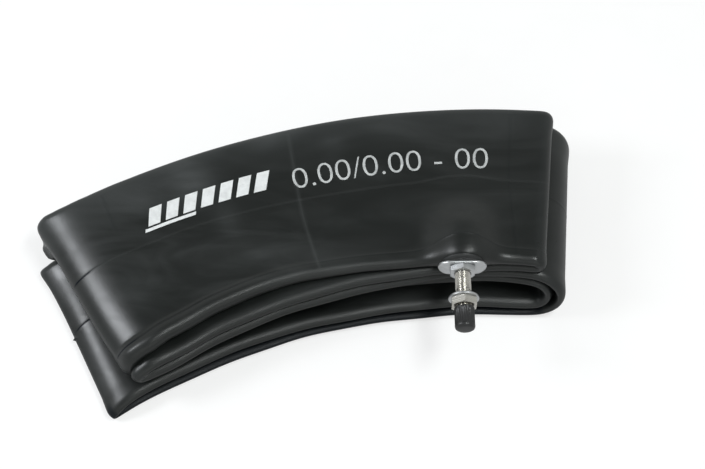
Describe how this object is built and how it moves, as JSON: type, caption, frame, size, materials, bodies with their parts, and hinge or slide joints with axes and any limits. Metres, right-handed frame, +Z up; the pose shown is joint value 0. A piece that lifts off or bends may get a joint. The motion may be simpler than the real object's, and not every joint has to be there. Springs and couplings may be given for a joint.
{
  "type": "inner tube",
  "caption": "Butyl rubber inner tube for a wheel, folded flat in layers, with a threaded metal valve, nuts, washers, screw cap and sprung valve core.",
  "frame": {"origin": "on the valve stem's axis, on the outer face of the base nut, where the rim well rests", "axes": "+Z up from the lowest layer to the top one, -Y along the valve stem away from the tube, +X along the strip to the valve's end"},
  "size_m": [0.2799, 0.1469, 0.0576],
  "materials": {
    "butyl": "satin black",
    "pad_rubber": "matt black",
    "nickelled_brass": "nickel-plated",
    "zinc_steel": "zinc-plated",
    "cap_plastic": "matt black",
    "seal_rubber": "matt",
    "brass": "machined",
    "spring_steel": "drawn wire"
  },
  "bodies": {
    "tube": {"casing": "butyl", "valve_pad": "pad_rubber", "bridge_washer": "zinc_steel", "base_nut": "zinc_steel", "valve_stem": "nickelled_brass", "core_plug": "brass", "core_barrel": "brass", "core_seal": "seal_rubber", "core_spring": "spring_steel"},
    "rim_washer": {"rim_washer": "zinc_steel"},
    "rim_nut": {"rim_nut": "nickelled_brass"},
    "cap_gasket": {"cap_gasket": "seal_rubber"},
    "cap": {"valve_cap": "cap_plastic"},
    "core_pin": {"core_pin": "brass", "core_cup": "brass", "core_cup_seal": "seal_rubber"}
  },
  "joints": [
    {"name": "rim_nut_travel", "type": "slide", "parent": "tube", "child": "rim_washer", "axis": [0, -1, 0], "range_m": [-0.01111, 0]},
    {"name": "rim_nut_turn", "type": "hinge", "parent": "rim_washer", "child": "rim_nut", "pos_m": [0, -0.015, 0], "axis": [0, -1, 0], "range_deg": [-5045, 0]},
    {"name": "cap_travel", "type": "slide", "parent": "tube", "child": "cap_gasket", "axis": [0, -1, 0], "range_m": [0, 0.01032]},
    {"name": "cap_turn", "type": "hinge", "parent": "cap_gasket", "child": "cap", "pos_m": [0, -0.024, 0], "axis": [0, -1, 0], "range_deg": [0, 4685]},
    {"name": "core_pin_press", "type": "slide", "parent": "tube", "child": "core_pin", "axis": [0, 1, 0], "range_m": [0, 0.0015], "stiffness_N_per_m": 300, "springref_m": -0.003, "deforming": ["core_spring"]}
  ],
  "couplings": [
    {"joint": "rim_nut_turn", "follows": "rim_nut_travel", "rad_per_m": 7915.8},
    {"joint": "cap_turn", "follows": "cap_travel", "rad_per_m": 7915.8}
  ]
}
